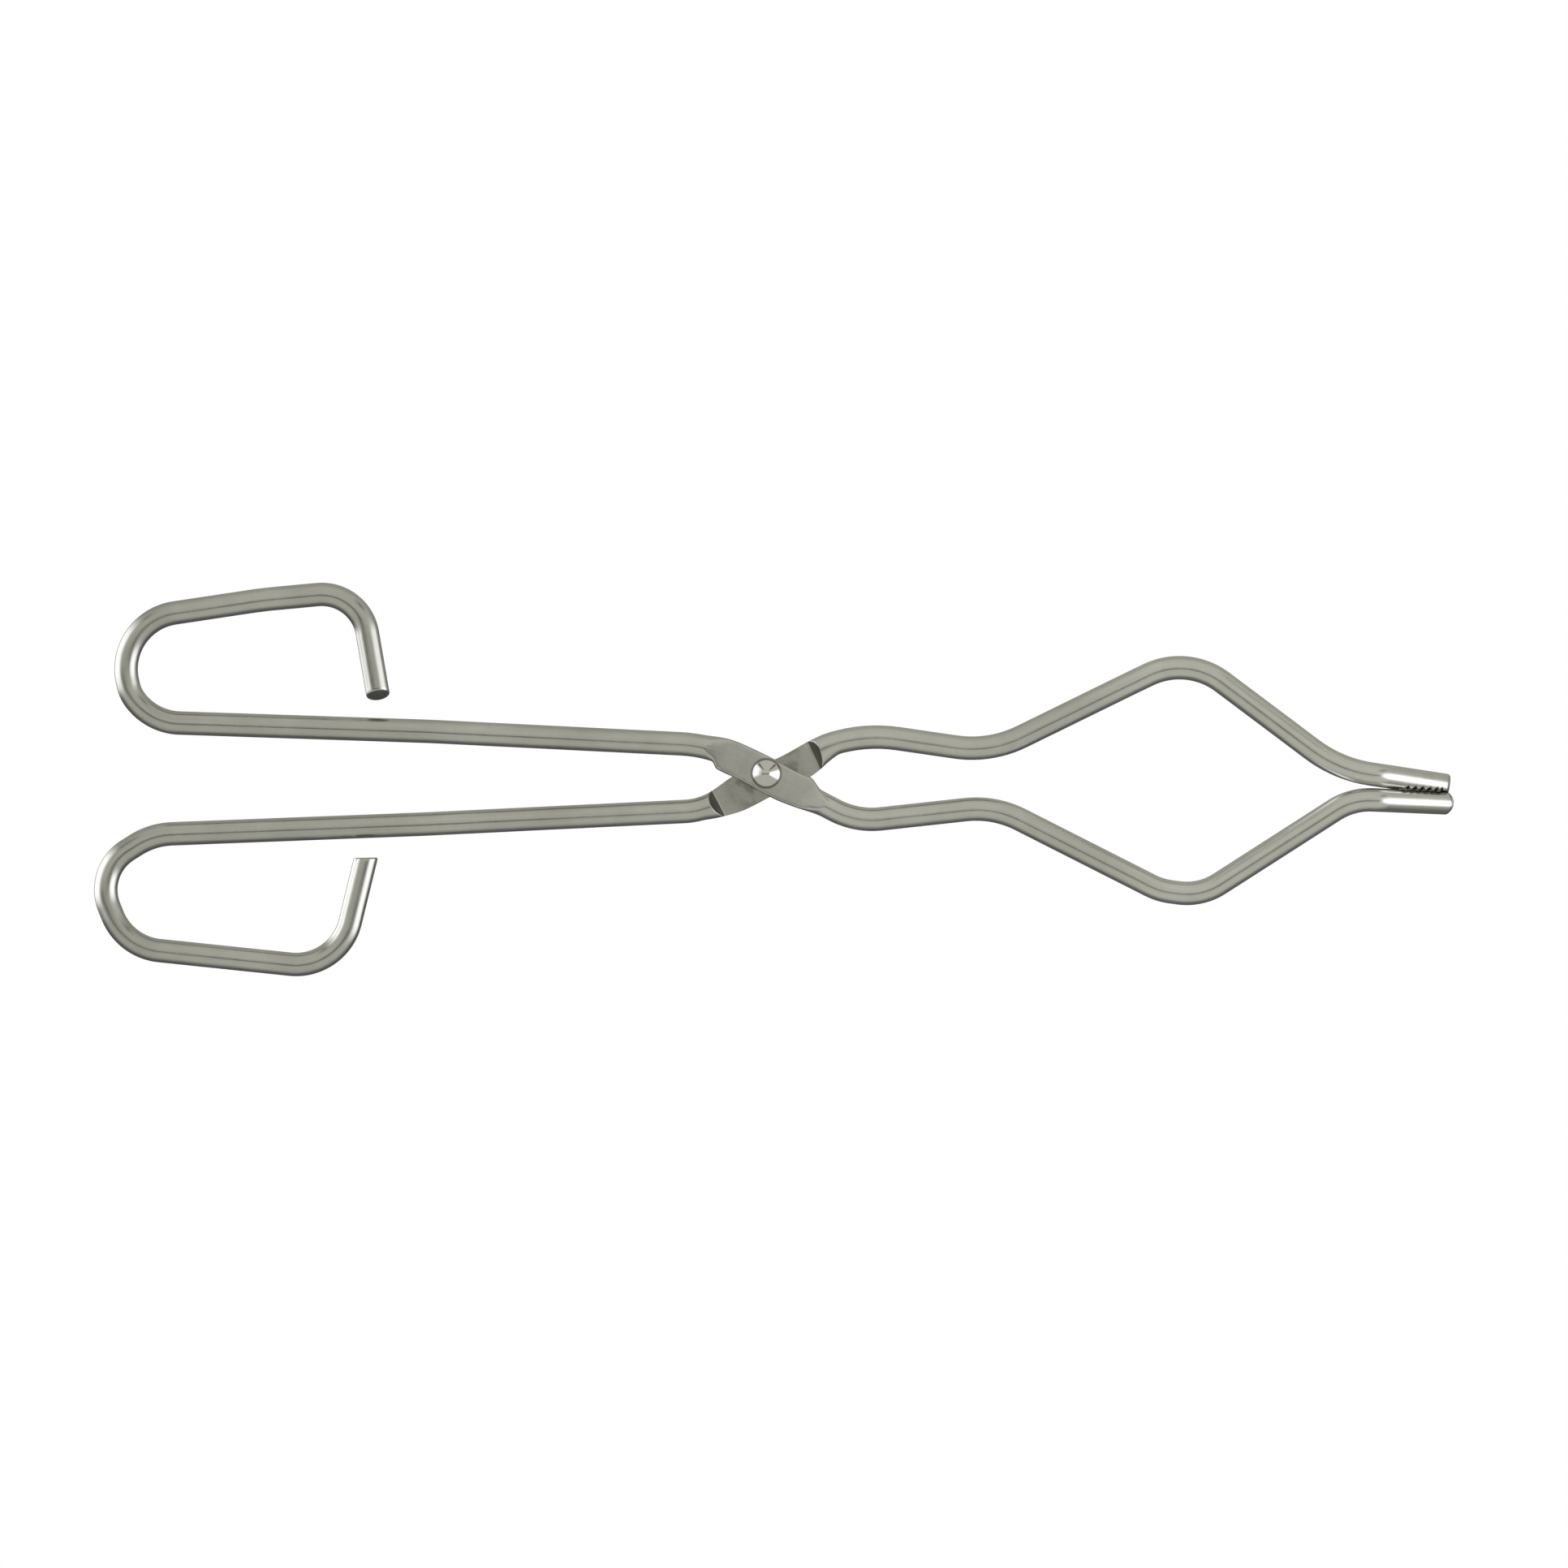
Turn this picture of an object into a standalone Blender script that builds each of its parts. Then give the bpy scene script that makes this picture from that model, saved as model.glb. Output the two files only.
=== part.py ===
"""Crucible tongs: two arms bent from round steel rod, lapped at the middle and held by one rivet.

+X runs from the finger loops to the jaws, +Z points up out of the rivet's domed head, and the
origin is on the pivot's axis, at the flat end of the rivet's tail. The jaws are closed.
"""

import math
from dataclasses import dataclass

import bmesh
import bpy
from mathutils import Matrix, Vector

MM = 0.001

# Rod, in millimetres like every size below.
ROD_DIAMETER = 5.2
ROD_SIDES_RESOLUTION = 4
BEND_STEP_DEG = 12.0
SHARP_ANGLE = 40.0
WELD_DISTANCE = 0.001

# The two arms share these lengths, from the pivot's axis.
HANDLE_LENGTH = 135.4
JAW_LENGTH = 151.0

# Lap joint: each arm is forged to a flat a little under half the rod's thickness.
LAP_CLEARANCE = 0.1
COINING_DEPTH = 0.3
FLAT_WIDTH = 7.7
LAP_HALF_LENGTH = 12.8
FLAT_HALF_LENGTH = 12.4
FLAT_FULLNESS = 8
FLAT_OUTLINE_STEPS = 16

# Rivet.
RIVET_DIAMETER = 3.2
RIVET_RUNNING_CLEARANCE = 0.08
HEAD_DIAMETER = 6.4
HEAD_HEIGHT = 2.2
HEAD_RIM = 0.3
DOME_STEPS = 8
TAIL_DIAMETER = 6.0
TAIL_THICKNESS = 0.9
SEAT_CLEARANCE = 0.08
TURNED_STEPS = 48

# Jaw tips: they turn down out of the plane of the arms, and meet on a toothed face.
TIP_DROP_ANGLE = 37.0
TIP_DROP_LENGTH = 16.0
TIP_DROP_RADIUS = 5.0
MEETING_END_Y = -4.3
MEETING_ANGLE = -6.0
MEETING_GAP = 0.3
TOOTH_PITCH = 2.0
TOOTH_WIDTH = 1.7
TOOTH_DEPTH = 0.55
TOOTH_COUNT = 7
TOOTH_END_MARGIN = 3.2


@dataclass(frozen=True)
class Bend:
    """A corner of the rod's centre line and the radius that rounds it."""

    x: float
    y: float
    radius: float = 0.0


@dataclass(frozen=True)
class ArmForm:
    """Sizes of one arm, drawn with its handle above the X axis and its jaw below it.

    Places on the loop are measured from the corner where the shank meets it, and those on
    the bow from the jaw's end. Each arm is bent by hand, so the two differ a little.
    """

    # The lap's slope, how far above the pivot its centre line passes, and the bends beside it.
    lap_angle: float
    lap_offset: float
    shank_bend_at: float
    shank_bend_radius: float
    neck_bend_at: float
    neck_bend_radius: float

    # The forged flat's own slope and offset: it doesn't spread evenly to both sides.
    flat_angle: float
    flat_offset: float

    # Handle: the shank's middle stands a little off the straight line between its ends.
    shank_set: float
    shank_set_radius: float
    handle_offset: float
    loop_corner_radius: float
    loop: tuple

    # Jaw.
    waist: Bend
    bow: tuple
    tip_overhang: float
    tip_length: float
    tip_bend_radius: float
    heel_clearance: float
    tip_flat_depth: float

    # Slants of the two cut ends, away from square.
    hook_cut_angle: float
    tip_cut_angle: float


FRONT_FORM = ArmForm(
    lap_angle=27.6,
    lap_offset=-0.25,
    shank_bend_at=13.9,
    shank_bend_radius=29.5,
    neck_bend_at=22.4,
    neck_bend_radius=18.0,
    flat_angle=27.0,
    flat_offset=-0.35,
    shank_set=0.5,
    shank_set_radius=150.0,
    handle_offset=11.3,
    loop_corner_radius=15.0,
    loop=(
        Bend(49.8, 5.9),
        Bend(45.8, 29.0, 10.2),
        Bend(24.3, 27.0, 60.0),
        Bend(-8.3, 22.1, 12.5),
        Bend(-4.9, 6.3, 10.2),
    ),
    waist=Bend(50.3, -7.3, 21.5),
    bow=(Bend(-64.2, -25.8, 14.5), Bend(-55.2, -27.0, 13.3)),
    tip_overhang=0.1,
    tip_length=22.0,
    tip_bend_radius=16.0,
    heel_clearance=1.3,
    tip_flat_depth=0.5,
    hook_cut_angle=23.0,
    tip_cut_angle=0.0,
)

BACK_FORM = ArmForm(
    lap_angle=27.8,
    lap_offset=0.5,
    shank_bend_at=16.6,
    shank_bend_radius=15.0,
    neck_bend_at=20.8,
    neck_bend_radius=33.0,
    flat_angle=26.5,
    flat_offset=1.3,
    shank_set=0.3,
    shank_set_radius=150.0,
    handle_offset=13.5,
    loop_corner_radius=16.0,
    loop=(
        Bend(47.1, 5.1),
        Bend(41.1, 29.7, 12.3),
        Bend(-6.0, 24.8, 12.5),
        Bend(-12.7, 8.0, 10.3),
    ),
    waist=Bend(49.4, -4.7, 25.0),
    bow=(Bend(-70.8, -19.8, 15.0), Bend(-58.1, -25.9, 15.8)),
    tip_overhang=0.2,
    tip_length=25.0,
    tip_bend_radius=25.0,
    heel_clearance=0.4,
    tip_flat_depth=1.0,
    hook_cut_angle=0.0,
    tip_cut_angle=37.0,
)

# Worked out from the sizes above.
ROD_RADIUS = ROD_DIAMETER / 2
FLAT_THICKNESS = ROD_RADIUS - LAP_CLEARANCE / 2 - COINING_DEPTH
OUTER_FACE = LAP_CLEARANCE / 2 + FLAT_THICKNESS
MIDDLE_Z = TAIL_THICKNESS + SEAT_CLEARANCE + OUTER_FACE
HOLE_RADIUS = RIVET_DIAMETER / 2 + RIVET_RUNNING_CLEARANCE
CUTTER_REACH = 4 * ROD_DIAMETER
CUTTING_MARGIN = 0.2 * ROD_RADIUS
TRIM_HALF_WIDTH = 1.5 * ROD_RADIUS
SLAB_MARGIN = 1.5 * COINING_DEPTH
UP = Vector((0.0, 0.0, 1.0))


def clear_scene():
    for obj in list(bpy.data.objects):
        bpy.data.objects.remove(obj, do_unlink=True)
    for group in list(bpy.data.collections):
        bpy.data.collections.remove(group)


def new_collection(name):
    group = bpy.data.collections.new(name)
    bpy.context.scene.collection.children.link(group)
    return group


def steel(name, colour, roughness):
    material = bpy.data.materials.new(name)
    material.use_nodes = True
    shader = material.node_tree.nodes["Principled BSDF"]
    shader.inputs["Base Color"].default_value = (*colour, 1.0)
    shader.inputs["Metallic"].default_value = 1.0
    shader.inputs["Roughness"].default_value = roughness
    material.diffuse_color = (*colour, 1.0)
    return material


def object_from_bmesh(shape, name, group, material=None):
    mesh = bpy.data.meshes.new(name)
    shape.to_mesh(mesh)
    shape.free()
    obj = bpy.data.objects.new(name, mesh)
    group.objects.link(obj)
    if material:
        mesh.materials.append(material)
    return obj


def helper(obj):
    obj.hide_render = True
    obj.display_type = "WIRE"
    return obj


def cut(obj, cutter, operation="DIFFERENCE"):
    modifier = obj.modifiers.new(f"{operation.title()} {cutter.name}", "BOOLEAN")
    modifier.object = cutter
    modifier.operation = operation
    modifier.solver = "EXACT"


def bend_tangents(corners):
    """How much of the runs beside each corner its bend takes, and the angle it turns through."""
    runs = [(after - before).length for (before, _), (after, _) in zip(corners, corners[1:])]
    turns = [0.0]
    for (before, _), (corner, _), (after, _) in zip(corners, corners[1:], corners[2:]):
        turns.append((corner - before).angle(after - corner))
    turns.append(0.0)
    wanted = [radius * math.tan(turn / 2) for (_, radius), turn in zip(corners, turns)]
    tangents = list(wanted)
    for number, run in enumerate(runs):
        share = run / max(wanted[number] + wanted[number + 1], run)
        for end in (number, number + 1):
            tangents[end] = min(tangents[end], wanted[end] * share)
    return tangents, turns


def filleted(corners):
    """Points along straight runs joined by round bends; corners are (place, bend radius)."""
    tangents, turns = bend_tangents(corners)
    points = [corners[0][0]]
    for number in range(1, len(corners) - 1):
        corner = corners[number][0]
        back = (corners[number - 1][0] - corner).normalized()
        ahead = (corners[number + 1][0] - corner).normalized()
        turn = turns[number]
        radius = tangents[number] / math.tan(turn / 2)
        centre = corner + (back + ahead).normalized() * math.hypot(radius, tangents[number])
        start = corner + back * tangents[number] - centre
        axis = back.cross(ahead).normalized()
        steps = max(2, math.ceil(math.degrees(turn) / BEND_STEP_DEG))
        for step in range(steps + 1):
            points.append(centre + Matrix.Rotation(-turn * step / steps, 3, axis) @ start)
    points.append(corners[-1][0])
    return points


def meeting_y(x):
    """Where the plane on which the two tips meet stands, at x along the tongs."""
    return MEETING_END_Y + (x - JAW_LENGTH) * math.tan(math.radians(MEETING_ANGLE))


def lap_direction(angle, side):
    """A run across the pivot, from the handle towards the jaw."""
    slope = math.radians(angle)
    return Vector((math.cos(slope), -side * math.sin(slope), 0.0))


def arm_corners(form, side):
    """Corners of one arm's centre line, hook end first. side is +1 in front and -1 behind."""
    lap = lap_direction(form.lap_angle, 1)
    lap_middle = Vector((0.0, form.lap_offset, 0.0))
    loop_corner = Vector((-HANDLE_LENGTH, form.handle_offset, 0.0))
    shank_bend = lap_middle - lap * form.shank_bend_at
    corners = [(loop_corner + Vector((bend.x, bend.y, 0.0)), bend.radius) for bend in form.loop]
    corners.append((loop_corner, form.loop_corner_radius))
    shank_middle = (loop_corner + shank_bend) / 2 + Vector((0.0, form.shank_set, 0.0))
    corners.append((shank_middle, form.shank_set_radius))
    corners.append((shank_bend, form.shank_bend_radius))
    corners.append((lap_middle + lap * form.neck_bend_at, form.neck_bend_radius))
    corners.append((Vector((form.waist.x, form.waist.y, 0.0)), form.waist.radius))
    corners += [(Vector((JAW_LENGTH + bend.x, bend.y, 0.0)), bend.radius) for bend in form.bow]

    # The tip's centre line stands off the meeting plane by the rod that is left there.
    standoff = ROD_RADIUS + MEETING_GAP / 2
    end_x = JAW_LENGTH + form.tip_overhang
    drop_x = JAW_LENGTH - TIP_DROP_LENGTH
    heel_x = end_x - form.tip_length
    heel_y = side * meeting_y(heel_x) - standoff - form.heel_clearance
    end_y = side * meeting_y(end_x) - standoff + form.tip_flat_depth
    drop_y = heel_y + (end_y - heel_y) * (drop_x - heel_x) / form.tip_length
    end_z = -(end_x - drop_x) * math.tan(math.radians(TIP_DROP_ANGLE))
    corners.append((Vector((heel_x, heel_y, 0.0)), form.tip_bend_radius))
    corners.append((Vector((drop_x, drop_y, 0.0)), TIP_DROP_RADIUS))
    corners.append((Vector((end_x, end_y, end_z)), 0.0))
    return [(Vector((place.x, side * place.y, place.z)), radius) for place, radius in corners]


def shape_of_curve(curve, name, group):
    """The curve's solid as a bmesh; the curve goes."""
    guide = bpy.data.objects.new(name + "_guide", curve)
    group.objects.link(guide)
    evaluated = guide.evaluated_get(bpy.context.evaluated_depsgraph_get())
    mesh = bpy.data.meshes.new_from_object(evaluated)
    shape = bmesh.new()
    shape.from_mesh(mesh)
    bmesh.ops.remove_doubles(shape, verts=shape.verts, dist=WELD_DISTANCE * MM)
    bmesh.ops.recalc_face_normals(shape, faces=shape.faces)
    bpy.data.objects.remove(guide)
    bpy.data.curves.remove(curve)
    bpy.data.meshes.remove(mesh)
    return shape


def rod(points, name, group, material):
    """A round rod along the points, as a closed mesh."""
    curve = bpy.data.curves.new(name, "CURVE")
    curve.dimensions = "3D"
    curve.bevel_depth = ROD_RADIUS * MM
    curve.bevel_resolution = ROD_SIDES_RESOLUTION
    curve.use_fill_caps = True
    line = curve.splines.new("POLY")
    line.points.add(len(points) - 1)
    for target, place in zip(line.points, points):
        target.co = (*((place + Vector((0.0, 0.0, MIDDLE_Z))) * MM), 1.0)
    return object_from_bmesh(shape_of_curve(curve, name, group), name, group, material)


def box(name, low, high, place, group):
    """A box cutter between two corners of its own frame, which place puts in the tongs."""
    shape = bmesh.new()
    bmesh.ops.create_cube(shape, size=1.0)
    size = [(b - a) * MM for a, b in zip(low, high)]
    middle = Vector([(b + a) / 2 * MM for a, b in zip(low, high)])
    bmesh.ops.scale(shape, verts=shape.verts, vec=size)
    bmesh.ops.translate(shape, verts=shape.verts, vec=middle)
    bmesh.ops.transform(shape, verts=shape.verts, matrix=place)
    return helper(object_from_bmesh(shape, name, group))


def frame_at(origin, x_axis, z_axis):
    """The matrix of a frame at origin (mm) with these X and Z directions."""
    x_axis = x_axis.normalized()
    z_axis = (z_axis - x_axis * z_axis.dot(x_axis)).normalized()
    y_axis = z_axis.cross(x_axis)
    turn = Matrix((x_axis, y_axis, z_axis)).transposed().to_4x4()
    return Matrix.Translation((origin + Vector((0.0, 0.0, MIDDLE_Z))) * MM) @ turn


def flat_outline():
    """Half-widths of the forged flat at places along it: nearly even, then a rod's width at its ends."""
    outline = []
    for step in range(FLAT_OUTLINE_STEPS + 1):
        share = math.sin(math.pi / 2 * (2 * step / FLAT_OUTLINE_STEPS - 1))
        swell = (FLAT_WIDTH - ROD_DIAMETER) / 2 * (1 - abs(share) ** FLAT_FULLNESS)
        outline.append((FLAT_HALF_LENGTH * share, ROD_RADIUS + swell))
    return outline


def flat_slab(name, low, high, place, group):
    """The flat's outline, raised from low to high."""
    curve = bpy.data.curves.new(name, "CURVE")
    curve.dimensions = "2D"
    curve.fill_mode = "BOTH"
    curve.extrude = (high - low) / 2 * MM
    outline = flat_outline()
    ring = outline + [(along, -half) for along, half in reversed(outline)]
    line = curve.splines.new("POLY")
    line.points.add(len(ring) - 1)
    line.use_cyclic_u = True
    for target, (x, y) in zip(line.points, ring):
        target.co = (x * MM, y * MM, 0.0, 1.0)
    shape = shape_of_curve(curve, name, group)
    bmesh.ops.translate(shape, verts=shape.verts, vec=(0.0, 0.0, (low + high) / 2 * MM))
    bmesh.ops.transform(shape, verts=shape.verts, matrix=place)
    return helper(object_from_bmesh(shape, name, group))


def rod_band(name, side, low, high, place, group):
    """A box over the forged length, between two heights on one side of the middle plane."""
    bottom, top = sorted((side * low, side * high))
    low_corner = (-LAP_HALF_LENGTH, -FLAT_WIDTH, bottom)
    high_corner = (LAP_HALF_LENGTH, FLAT_WIDTH, top)
    return box(name, low_corner, high_corner, place, group)


def rivet_hole(name, group):
    shape = bmesh.new()
    bmesh.ops.create_cone(
        shape,
        cap_ends=True,
        segments=TURNED_STEPS,
        radius1=HOLE_RADIUS * MM,
        radius2=HOLE_RADIUS * MM,
        depth=CUTTER_REACH * MM,
    )
    bmesh.ops.translate(shape, verts=shape.verts, vec=(0.0, 0.0, MIDDLE_Z * MM))
    return helper(object_from_bmesh(shape, name, group))


def tooth_cutter(name, tip_frame, side, group):
    """V grooves across the tip's meeting face, in the tip's own frame: X along it, Y across."""
    shape = bmesh.new()
    for number in range(TOOTH_COUNT):
        made = bmesh.ops.create_cone(
            shape,
            cap_ends=True,
            segments=4,
            radius1=1.0,
            radius2=1.0,
            depth=CUTTER_REACH * MM,
        )
        size = (TOOTH_WIDTH / 2 * MM, TOOTH_DEPTH * MM, 1.0)
        bmesh.ops.scale(shape, verts=made["verts"], vec=size)
        along = -TOOTH_END_MARGIN - number * TOOTH_PITCH
        middle = Vector((along, -side * MEETING_GAP / 2, 0.0)) * MM
        bmesh.ops.translate(shape, verts=made["verts"], vec=middle)
    bmesh.ops.transform(shape, verts=shape.verts, matrix=tip_frame)
    return helper(object_from_bmesh(shape, name, group))


def cutting_allowance(slant):
    """How much longer than its axis the rod is left, so that a slanted cut goes right through it."""
    return ROD_RADIUS * math.tan(math.radians(slant)) + CUTTING_MARGIN


def cut_to_length(arm, form, corners, group):
    """The hook's end and the tip's end are cut square across the rod, or at a slant."""
    ends = (("hook", 0, 1, form.hook_cut_angle), ("tip", -1, -2, form.tip_cut_angle))
    for label, end, inward, slant in ends:
        run = (corners[end][0] - corners[inward][0]).normalized()
        tilt = Matrix.Rotation(math.radians(slant), 3, run.cross(UP))
        place = frame_at(corners[end][0], tilt @ run, UP)
        reach = cutting_allowance(slant) + ROD_RADIUS
        low = (0.0, -TRIM_HALF_WIDTH, -TRIM_HALF_WIDTH)
        high = (reach, TRIM_HALF_WIDTH, TRIM_HALF_WIDTH)
        cut(arm, box(f"{arm.name}_{label}_trim", low, high, place, group))


def forge_lap(arm, form, side, group):
    """Half of the rod goes, the rest spreads into a flat, and the rivet's hole goes through it."""
    lap_frame = frame_at(Vector(), lap_direction(form.lap_angle, side), UP)
    flat_middle = Vector((0.0, side * form.flat_offset, 0.0))
    flat_frame = frame_at(flat_middle, lap_direction(form.flat_angle, side), UP)
    low, high = sorted((-side * SLAB_MARGIN, side * (OUTER_FACE + SLAB_MARGIN)))
    cut(arm, flat_slab(f"{arm.name}_flat", low, high, flat_frame, group), "UNION")
    inner_band = (side, -CUTTER_REACH, LAP_CLEARANCE / 2, lap_frame, group)
    outer_band = (side, OUTER_FACE, CUTTER_REACH, lap_frame, group)
    cut(arm, rod_band(f"{arm.name}_lap", *inner_band))
    cut(arm, rod_band(f"{arm.name}_coining", *outer_band))
    cut(arm, rivet_hole(f"{arm.name}_hole", group))


def tooth_the_tip(arm, form, side, corners, group):
    """The tip's inner face is filed flat along the meeting plane, then grooved across."""
    slope = math.radians(MEETING_ANGLE)
    along = Vector((math.cos(slope), math.sin(slope), 0.0))
    across = Vector((-along.y, along.x, 0.0))
    meeting_end = Vector((JAW_LENGTH, MEETING_END_Y, 0.0))
    low, high = sorted((-side * MEETING_GAP / 2, side * CUTTER_REACH))
    filing_low = (-form.tip_length, low, -CUTTER_REACH)
    filing_high = (CUTTER_REACH, high, CUTTER_REACH)
    place = frame_at(meeting_end, along, UP)
    cut(arm, box(f"{arm.name}_filing", filing_low, filing_high, place, group))
    drop, end = corners[-2][0], corners[-1][0]
    run = (end - drop).normalized()
    run -= across * run.dot(across)
    drop_z = -TIP_DROP_LENGTH * math.tan(math.radians(TIP_DROP_ANGLE))
    tooth_frame = frame_at(meeting_end + UP * drop_z, run, run.cross(across))
    cut(arm, tooth_cutter(f"{arm.name}_teeth", tooth_frame, side, group))


def make_arm(name, form, side, parts, cutters, material):
    """One arm. side is +1 for the arm on top, whose handle is at +Y, and -1 for the other."""
    corners = arm_corners(form, side)
    centre_line = filleted(corners)
    for end, inward, slant in ((0, 1, form.hook_cut_angle), (-1, -2, form.tip_cut_angle)):
        run = (centre_line[end] - centre_line[inward]).normalized()
        centre_line[end] = centre_line[end] + run * cutting_allowance(slant)
    arm = rod(centre_line, name, parts, material)
    cut_to_length(arm, form, corners, cutters)
    forge_lap(arm, form, side, cutters)
    tooth_the_tip(arm, form, side, corners, cutters)
    return arm


def make_rivet(parts, material):
    """The rivet's profile, turned about the pivot: tail, shank and domed head."""
    shank = RIVET_DIAMETER / 2
    head_seat = MIDDLE_Z + OUTER_FACE + SEAT_CLEARANCE
    head_radius = HEAD_DIAMETER / 2
    crown = HEAD_HEIGHT - HEAD_RIM
    dome_radius = (head_radius**2 + crown**2) / (2 * crown)
    dome_angle = math.asin(head_radius / dome_radius)
    dome_centre = head_seat + HEAD_HEIGHT - dome_radius
    profile = [(0.0, head_seat + HEAD_HEIGHT)]
    for step in range(1, DOME_STEPS + 1):
        angle = dome_angle * step / DOME_STEPS
        profile.append((dome_radius * math.sin(angle), dome_centre + dome_radius * math.cos(angle)))
    profile += [(head_radius, head_seat), (shank, head_seat), (shank, TAIL_THICKNESS)]
    profile += [(TAIL_DIAMETER / 2, TAIL_THICKNESS), (TAIL_DIAMETER / 2, 0.0), (0.0, 0.0)]
    shape = bmesh.new()
    ring = [shape.verts.new((radius * MM, 0.0, height * MM)) for radius, height in profile]
    for first, second in zip(ring, ring[1:]):
        shape.edges.new((first, second))
    rivet = object_from_bmesh(shape, "pivot_rivet", parts, material)
    screw = rivet.modifiers.new("Turning", "SCREW")
    screw.axis = "Z"
    screw.steps = TURNED_STEPS
    screw.render_steps = TURNED_STEPS
    screw.use_merge_vertices = True
    screw.merge_threshold = WELD_DISTANCE * MM
    return rivet


def smooth(obj):
    obj.data.shade_smooth()
    obj.data.set_sharp_from_angle(angle=math.radians(SHARP_ANGLE))


def main():
    clear_scene()
    parts = new_collection("crucible_tongs")
    cutters = new_collection("cutters")
    satin = steel("satin_steel", (0.56, 0.55, 0.52), 0.32)
    polished = steel("polished_steel", (0.66, 0.65, 0.62), 0.15)
    front = make_arm("front_arm", FRONT_FORM, 1, parts, cutters, satin)
    back = make_arm("back_arm", BACK_FORM, -1, parts, cutters, satin)
    make_rivet(parts, polished)
    for arm in (front, back):
        smooth(arm)


main()
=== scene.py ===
import math
from bisect import bisect_right
from dataclasses import dataclass

import bmesh
import bpy
from mathutils import Matrix, Vector


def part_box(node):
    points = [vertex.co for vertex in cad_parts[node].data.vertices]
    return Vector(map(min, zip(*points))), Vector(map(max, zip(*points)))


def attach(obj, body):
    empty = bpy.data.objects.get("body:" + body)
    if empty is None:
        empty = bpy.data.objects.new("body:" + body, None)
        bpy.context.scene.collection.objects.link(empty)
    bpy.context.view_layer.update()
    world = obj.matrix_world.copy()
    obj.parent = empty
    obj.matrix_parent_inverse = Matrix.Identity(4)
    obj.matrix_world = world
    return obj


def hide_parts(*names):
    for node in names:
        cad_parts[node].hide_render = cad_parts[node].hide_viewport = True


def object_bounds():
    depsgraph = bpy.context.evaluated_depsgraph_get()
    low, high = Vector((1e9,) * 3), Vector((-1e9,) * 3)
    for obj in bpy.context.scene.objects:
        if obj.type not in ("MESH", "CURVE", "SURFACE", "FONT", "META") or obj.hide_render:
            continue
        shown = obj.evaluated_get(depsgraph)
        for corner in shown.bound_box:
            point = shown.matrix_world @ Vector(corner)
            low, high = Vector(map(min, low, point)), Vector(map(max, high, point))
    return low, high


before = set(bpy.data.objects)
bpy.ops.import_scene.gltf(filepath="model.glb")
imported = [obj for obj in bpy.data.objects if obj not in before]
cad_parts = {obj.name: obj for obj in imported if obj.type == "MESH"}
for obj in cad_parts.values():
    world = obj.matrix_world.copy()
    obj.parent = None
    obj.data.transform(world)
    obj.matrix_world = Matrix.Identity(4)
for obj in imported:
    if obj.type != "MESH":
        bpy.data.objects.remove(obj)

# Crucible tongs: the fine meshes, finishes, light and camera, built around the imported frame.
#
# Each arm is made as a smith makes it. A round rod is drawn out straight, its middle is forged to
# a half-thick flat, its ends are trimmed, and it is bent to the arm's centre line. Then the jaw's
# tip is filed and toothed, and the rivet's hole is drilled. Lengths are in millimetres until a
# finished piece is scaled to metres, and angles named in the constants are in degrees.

CAD_LOW, CAD_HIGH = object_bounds()
MM = 0.001

# Driving sizes of the frame's arms.
ROD_RADIUS = 2.6
HANDLE_LENGTH = 135.4
JAW_LENGTH = 151.0
LAP_CLEARANCE = 0.1
FLAT_THICKNESS = 2.25
HOLE_RADIUS = 1.68
TIP_DROP_ANGLE = 37.0
TIP_DROP_LENGTH = 16.0
TIP_DROP_RADIUS = 5.0
MEETING_END_Y = -4.3
MEETING_ANGLE = -6.0
MEETING_GAP = 0.3

# Heights and the rivet's head come from the frame's boxes.
RIVET_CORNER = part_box("pivot_rivet")[1] / MM
HEAD_RADIUS = RIVET_CORNER.x
HEAD_TOP = RIVET_CORNER.z
FRONT_ARM_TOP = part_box("front_arm")[1].z / MM
MIDDLE_Z = FRONT_ARM_TOP - ROD_RADIUS

UP = Vector((0.0, 0.0, 1.0))
PIVOT = Vector((0.0, 0.0, 0.0))
MERGE_DISTANCE = 0.001


# ---------------------------------------------------------------- the arms' forms


@dataclass(frozen=True)
class Bend:
    """A corner of the rod's centre line and the radius that rounds it."""

    x: float
    y: float
    radius: float = 0.0


@dataclass(frozen=True)
class ArmForm:
    """One arm, drawn with its handle above the X axis and its jaw below it.

    Places on the loop are measured from the corner where the shank meets it, and those on the
    bow from the jaw's end. Spreads are how far the forged flat's edges stand out past the rod,
    at distances from the pivot along the lap, on the rod's left and right as it runs to the jaw.
    """

    lap_angle: float
    lap_offset: float
    shank_bend_at: float
    shank_bend_radius: float
    neck_bend_at: float
    neck_bend_radius: float
    shank_set: float
    handle_offset: float
    loop_corner_radius: float
    loop: tuple
    waist: Bend
    bow: tuple
    tip_overhang: float
    tip_length: float
    tip_bend_radius: float
    heel_clearance: float
    tip_flat_depth: float
    hook_cut_angle: float
    hook_skew: float
    tip_cut_angle: float
    tip_rounding: float
    tooth_depth: float
    tooth_top: float
    lap_from: float
    lap_to: float
    spread_left: tuple
    spread_right: tuple


SHANK_SET_RADIUS = 150.0
FRONT_SIDE = 1
BACK_SIDE = -1

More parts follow.
